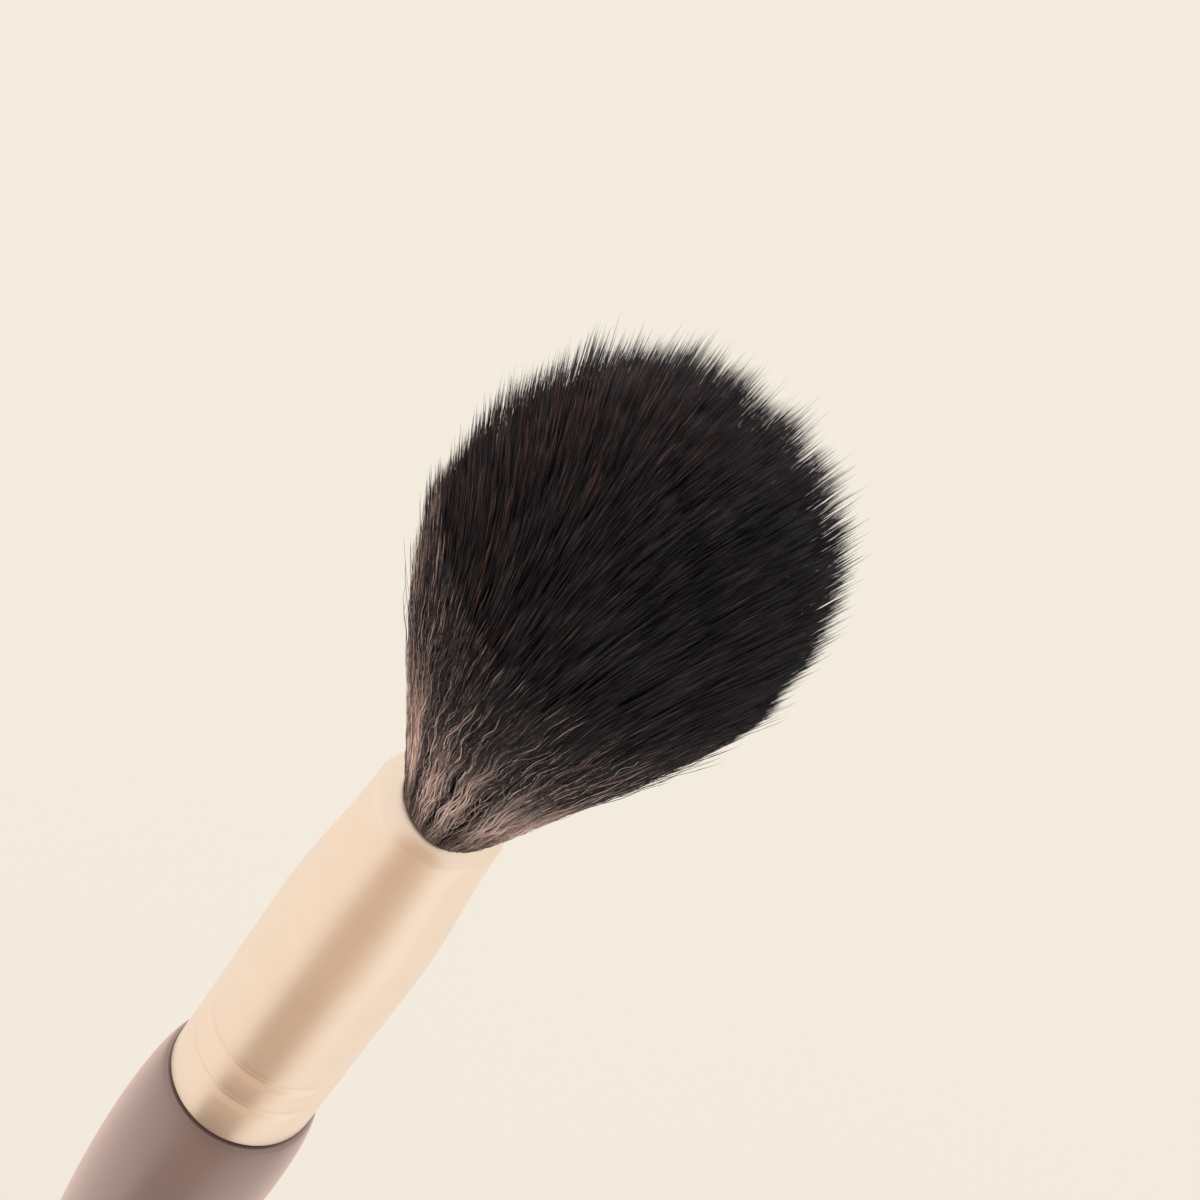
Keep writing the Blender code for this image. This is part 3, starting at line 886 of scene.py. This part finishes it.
def hair_faces(shares):
    """The faces of one three-sided hair as corners, and their places in its column of the map.
    Each side has its own strip of the column."""
    rings = len(shares) - 1
    edges = [(side + STRIP_MARGIN) / STRIPS_ACROSS for side in range(4)]
    strips = list(zip(edges, edges[1:]))
    quads, quad_uvs = [], []
    for ring in range(rings - 1):
        low, high = ring * 3, ring * 3 + 3
        v = shares[ring], shares[ring + 1]
        for side, u in enumerate(strips):
            after = (side + 1) % 3
            quads.append((low + side, low + after, high + after, high + side))
            quad_uvs.append(((u[0], v[0]), (u[1], v[0]), (u[1], v[1]), (u[0], v[1])))
    tips, tip_uvs = [], []
    low = (rings - 1) * 3
    for side, u in enumerate(strips):
        tips.append((low + side, low + (side + 1) % 3, rings * 3))
        tip_uvs.append(((u[0], shares[-2]), (u[1], shares[-2]), ((u[0] + u[1]) / 2, 1.0)))
    base, base_uv = (2, 1, 0), ((0.3, 0.0), (0.5, 0.01), (0.7, 0.0))
    return quads + tips + [base], quad_uvs + tip_uvs + [base_uv]


def hair_mesh(name, paths, shares, thickness, tint, finish, fade=1.0):
    """A mesh of three-sided hairs that taper to a point. Each hair's tint (0 to 1) is its u. Its v
    runs from 0 at the root to its fade at the tip, so a low fade keeps the root's tint."""
    count, rings, _ = paths.shape
    rings -= 1
    along = np.gradient(paths, axis=1)
    along /= np.linalg.norm(along, axis=2, keepdims=True)
    turn = rng.uniform(0, math.tau, count)
    aside = np.stack([np.cos(turn), np.sin(turn), np.zeros(count)], 1)[:, None, :]
    first = np.cross(along, np.broadcast_to(aside, along.shape))
    first /= np.linalg.norm(first, axis=2, keepdims=True)
    second = np.cross(along, first)
    radius = thickness[:, None] / 2 * (1 - TIP_THINNING * shares[None, :rings] ** 2)
    verts = np.empty((count, rings * 3 + 1, 3))
    for side in range(3):
        angle = math.tau * side / 3
        offset = math.cos(angle) * first[:, :rings] + math.sin(angle) * second[:, :rings]
        verts[:, side : rings * 3 : 3] = paths[:, :rings] + offset * radius[:, :, None]
    verts[:, -1] = paths[:, -1]

    faces, face_uvs = hair_faces(shares)
    corners = [corner for face in faces for corner in face]
    uvs = np.array([uv for face in face_uvs for uv in face])
    per_hair = rings * 3 + 1
    all_corners = (np.array(corners)[None, :] + np.arange(count)[:, None] * per_hair).ravel()
    all_sizes = np.tile([len(face) for face in faces], count)
    starts = np.concatenate([[0], np.cumsum(all_sizes)[:-1]])
    column = np.floor(tint * TINT_COLUMNS).clip(0, TINT_COLUMNS - 1)
    all_uvs = np.empty((count, len(corners), 2))
    all_uvs[:, :, 0] = (column[:, None] + uvs[None, :, 0]) / TINT_COLUMNS
    all_uvs[:, :, 1] = uvs[None, :, 1] * np.broadcast_to(fade, count)[:, None]
    all_uvs[:, :, 1] = all_uvs[:, :, 1] * (1 - 2 * MAP_MARGIN) + MAP_MARGIN

    mesh = bpy.data.meshes.new(name)
    mesh.vertices.add(count * per_hair)
    mesh.vertices.foreach_set("co", verts.astype(np.float32).ravel())
    mesh.loops.add(len(all_corners))
    mesh.loops.foreach_set("vertex_index", all_corners.astype(np.int32))
    mesh.polygons.add(len(all_sizes))
    mesh.polygons.foreach_set("loop_start", starts.astype(np.int32))
    mesh.update(calc_edges=True)
    layer = mesh.uv_layers.new(name="OFBake")
    layer.uv.foreach_set("vector", all_uvs.astype(np.float32).ravel())
    mesh.materials.append(finish)
    mesh.shade_smooth()
    return placed(name, mesh)


def angles_round(count, low, high):
    """One random angle in each of count equal parts of a turn, between two shares of the part."""
    return ((np.arange(count) + rng.uniform(low, high, count)) / count - 0.5) * math.tau


# Locks are broad gatherings of the outer hairs, strands are fine ones, and tufts gather the ends
LOCK_COUNT = 27
LOCK_ANGLE = angles_round(LOCK_COUNT, 0.1, 0.9)
LOCK_PULL = rng.uniform(0.13, 0.30, LOCK_COUNT)
LOCK_PHASE = rng.uniform(0, math.tau, LOCK_COUNT)
LOCK_WAVE = rng.uniform(0.14, 0.26, LOCK_COUNT)
LOCK_RISE = rng.uniform(0.00006, 0.00022, LOCK_COUNT)
LOCK_TINT = rng.random(LOCK_COUNT)
STRAND_COUNT = 270
STRAND_ANGLE = angles_round(STRAND_COUNT, 0, 1)
STRAND_PHASE = rng.uniform(0, math.tau, STRAND_COUNT)
STRAND_WAVE = rng.uniform(0.08, 0.16, STRAND_COUNT)
STRAND_RISE = rng.uniform(0, 0.00010, STRAND_COUNT)
STRAND_TINT = rng.random(STRAND_COUNT)
TUFT_COUNT = 460
TUFTS = disc_points(TUFT_COUNT, 0, 1.0)
TUFT_PULL = rng.uniform(0.05, 0.20, TUFT_COUNT)
TUFT_LENGTH = rng.normal(0.002, 0.010, TUFT_COUNT)
TUFT_LEAN = rng.normal(0, 0.00010, (TUFT_COUNT, 2))


def make_outer_hair(number, finish):
    roots = disc_points(OUTER_HAIRS, *OUTER_RING)
    paths, tint = hair_paths(roots, OUTER_SHARES, full_lengths(roots))
    # Painted light from the left: hairs at the left keep the root's light tint for longer
    left = leftness(rim_and_angle(roots)[1], LEFT_PAINTED_LIGHT_FADE_WIDTH)
    lasting = rng.random(OUTER_HAIRS) < LASTING_SHARE + LEFT_PAINTED_LIGHT_LASTING_SHARE * left
    lasting_tint = LASTING_TINT + LASTING_TINT_SPREAD * rng.random(OUTER_HAIRS)
    tint = np.where(lasting & (tint < TINT_LIMIT), lasting_tint, tint)
    lasting_fade = rng.uniform(*LASTING_FADES, OUTER_HAIRS)
    fade = np.where(lasting, lasting_fade, rng.uniform(*OTHER_FADES, OUTER_HAIRS))
    fade *= 1 - LEFT_OUTER_PAINTED_LIGHT * left
    thickness = thicknesses(OUTER_HAIRS, OUTER_THICKNESS)
    name = f"outer_hair_{number}"
    return hair_mesh(name, paths, OUTER_SHARES, thickness, tint, finish, fade)


def make_inner_hair(number, finish):
    roots = disc_points(INNER_HAIRS, *INNER_RING)
    paths, tint = hair_paths(roots, INNER_SHARES, full_lengths(roots))
    rim, angle = rim_and_angle(roots)
    # Painted light from the left: inner hairs at the left keep the root's light tint for longer
    left = leftness(angle, LEFT_PAINTED_LIGHT_FADE_WIDTH)
    fade = 1 - LEFT_INNER_PAINTED_LIGHT * left * rise(rim, *INNER_FADE_ZONE)
    thickness = thicknesses(INNER_HAIRS, INNER_THICKNESS)
    name = f"inner_hair_{number}"
    return hair_mesh(name, paths, INNER_SHARES, thickness, tint, finish, fade)


def make_loose_hair(finish):
    paths, tint = loose_paths(LOOSE_SHARES)
    thickness = thicknesses(len(paths), LOOSE_THICKNESS)
    return hair_mesh("loose_hair", paths, LOOSE_SHARES, thickness, tint, finish)


def make_hair():
    long_tints = LONG_ROOT_TINTS, LONG_TIP_TINTS
    outer_finish = hair_finish("outer_hair", *long_tints, *OUTER_FADE_RANGE)
    inner_finish = hair_finish("inner_hair", *long_tints, *INNER_FADE_RANGE)
    loose_finish = hair_finish("loose_hair", LOOSE_ROOT_TINTS, LOOSE_TIP_TINTS, *LOOSE_FADE_RANGE)
    made = [make_outer_hair(number + 1, outer_finish) for number in range(OUTER_PIECES)]
    made += [make_inner_hair(number + 1, inner_finish) for number in range(INNER_PIECES)]
    return made + [make_loose_hair(loose_finish)]


# Studio


def make_camera():
    """Places the camera so that the mouth of the ferrule and the brush's axis fall where the
    photograph has them. x is to the right, y down and z away in the photograph's own axes."""
    focal = PHOTO_PIXELS * LENS / SENSOR
    middle = PHOTO_PIXELS / 2
    ray = Vector((MOUTH_PIXEL[0] - middle, MOUTH_PIXEL[1] - middle, focal)).normalized()
    aside = Vector((-AXIS_IN_PHOTO[0], -AXIS_IN_PHOTO[1], 0))
    aside = (aside - ray * aside.dot(ray)).normalized()
    brush_z = -(ray * math.cos(VIEW_TO_AXIS) + aside * math.sin(VIEW_TO_AXIS))
    away = Vector((0, 0, 1))
    brush_y = (away - brush_z * away.dot(brush_z)).normalized()
    brush_x = brush_y.cross(brush_z)
    flip = Matrix.Diagonal((1, -1, -1))
    to_brush = (flip @ Matrix((brush_x, brush_y, brush_z)).transposed()).inverted()
    data = bpy.data.cameras.new("camera")
    data.lens = LENS
    data.sensor_width = SENSOR
    data.clip_start, data.clip_end = CLIP_RANGE
    camera = placed("camera", data)
    place = Vector((0, 0, MOUTH_Z)) - to_brush @ (flip @ (ray * MOUTH_DISTANCE))
    camera.matrix_world = Matrix.Translation(place) @ to_brush.to_4x4()
    bpy.context.scene.camera = camera


def sheet_of(name, finish, corners):
    bm = bmesh.new()
    bm.faces.new([bm.verts.new(corner) for corner in corners])
    mesh = bpy.data.meshes.new(name)
    bm.to_mesh(mesh)
    bm.free()
    mesh.materials.append(finish.material)
    return placed(name, mesh)


def flat_sheet(name, finish, outline, height):
    """A sheet that lies flat, from an outline of (x, y) points."""
    return sheet_of(name, finish, [(x, y, height) for x, y in outline])


def matt(name):
    finish = Finish(name)
    finish.set(Roughness=1.0, Specular_IOR_Level=0.0)
    return finish


def paper(name, dark, light):
    finish = matt(name)
    finish.mottle(finish.noise(3, 2), dark, light)
    return finish


def graded_paper():
    """Dark in the middle. It ends sharply on the left and fades out on the right."""
    graded = matt("graded_paper")
    place = graded.node("ShaderNodeTexCoord")
    parts = graded.node("ShaderNodeSeparateXYZ")
    graded.link(place.outputs["Object"], parts.inputs["Vector"])
    ratio = graded.node("ShaderNodeMath", operation="DIVIDE")
    graded.link(parts.outputs["X"], ratio.inputs[0])
    graded.link(parts.outputs["Y"], ratio.inputs[1])
    colour = graded.ramp(ratio.outputs[0], *GRADED_RANGE, *GRADED_STOPS)
    graded.link(colour, graded.shader.inputs["Base Color"])
    return graded


def make_floor():
    """A pale floor, and in front of the brush three sheets that only reflections show."""
    steps = [math.tau * step / FLOOR_SIDES for step in range(FLOOR_SIDES)]
    ring = [(FLOOR_RADIUS * math.cos(angle), FLOOR_RADIUS * math.sin(angle)) for angle in steps]
    floor = flat_sheet("floor", paper("paper_floor", FLOOR_DARK, FLOOR_LIGHT), ring, 0)
    graded = graded_paper()
    sheet = flat_sheet("graded_sheet", graded, GRADED_OUTLINE, GRADED_HEIGHT)
    upright = sheet_of("upright_sheet", graded, UPRIGHT_CORNERS)
    near_paper = paper("near_paper", NEAR_DARK, NEAR_LIGHT)
    near = flat_sheet("near_sheet", near_paper, NEAR_OUTLINE, NEAR_HEIGHT)
    for piece in (sheet, upright, near):
        piece.visible_camera = False
        piece.visible_diffuse = False
        piece.visible_shadow = False


def make_light(name, azimuth, elevation, power, colour):
    """A square soft light that faces the head. Azimuth 0 is the camera's side, 90 is +X."""
    data = bpy.data.lights.new(name, "AREA")
    data.shape = "SQUARE"
    data.size = LIGHT_SIZE
    data.energy = power
    data.color = colour
    light = placed(name, data)
    a, e = math.radians(azimuth), math.radians(elevation)
    towards = Vector((math.sin(a) * math.cos(e), -math.cos(a) * math.cos(e), math.sin(e)))
    light.location = Vector((0, 0, MOUTH_Z)) + towards * LIGHT_DISTANCE
    light.rotation_euler = towards.to_track_quat("Z", "Y").to_euler()
    light.visible_glossy = False


def make_world():
    world = bpy.data.worlds.new("studio")
    world.use_nodes = True
    background = world.node_tree.nodes["Background"]
    background.inputs["Color"].default_value = WORLD_COLOUR
    background.inputs["Strength"].default_value = WORLD_STRENGTH
    bpy.context.scene.world = world


def dress():
    root = "root"
    for node, settings in INSIDE_FINISHES.items():
        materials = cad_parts[node].data.materials
        materials.clear()
        materials.append(plain_finish(*settings))

    ferrule = turned("ferrule_tube", ferrule_outline(), rose_gold())
    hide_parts("ferrule")
    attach(ferrule, root)
    handle = turned("turned_handle", handle_outline(), plum_lacquer())
    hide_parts("handle")
    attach(handle, root)
    for piece in make_hair():
        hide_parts("hair_tuft")
        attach(piece, root)


make_camera()
make_floor()
make_world()
for light_settings in LIGHTS:
    make_light(*light_settings)
bpy.context.scene.view_settings.view_transform = "Standard"
dress()
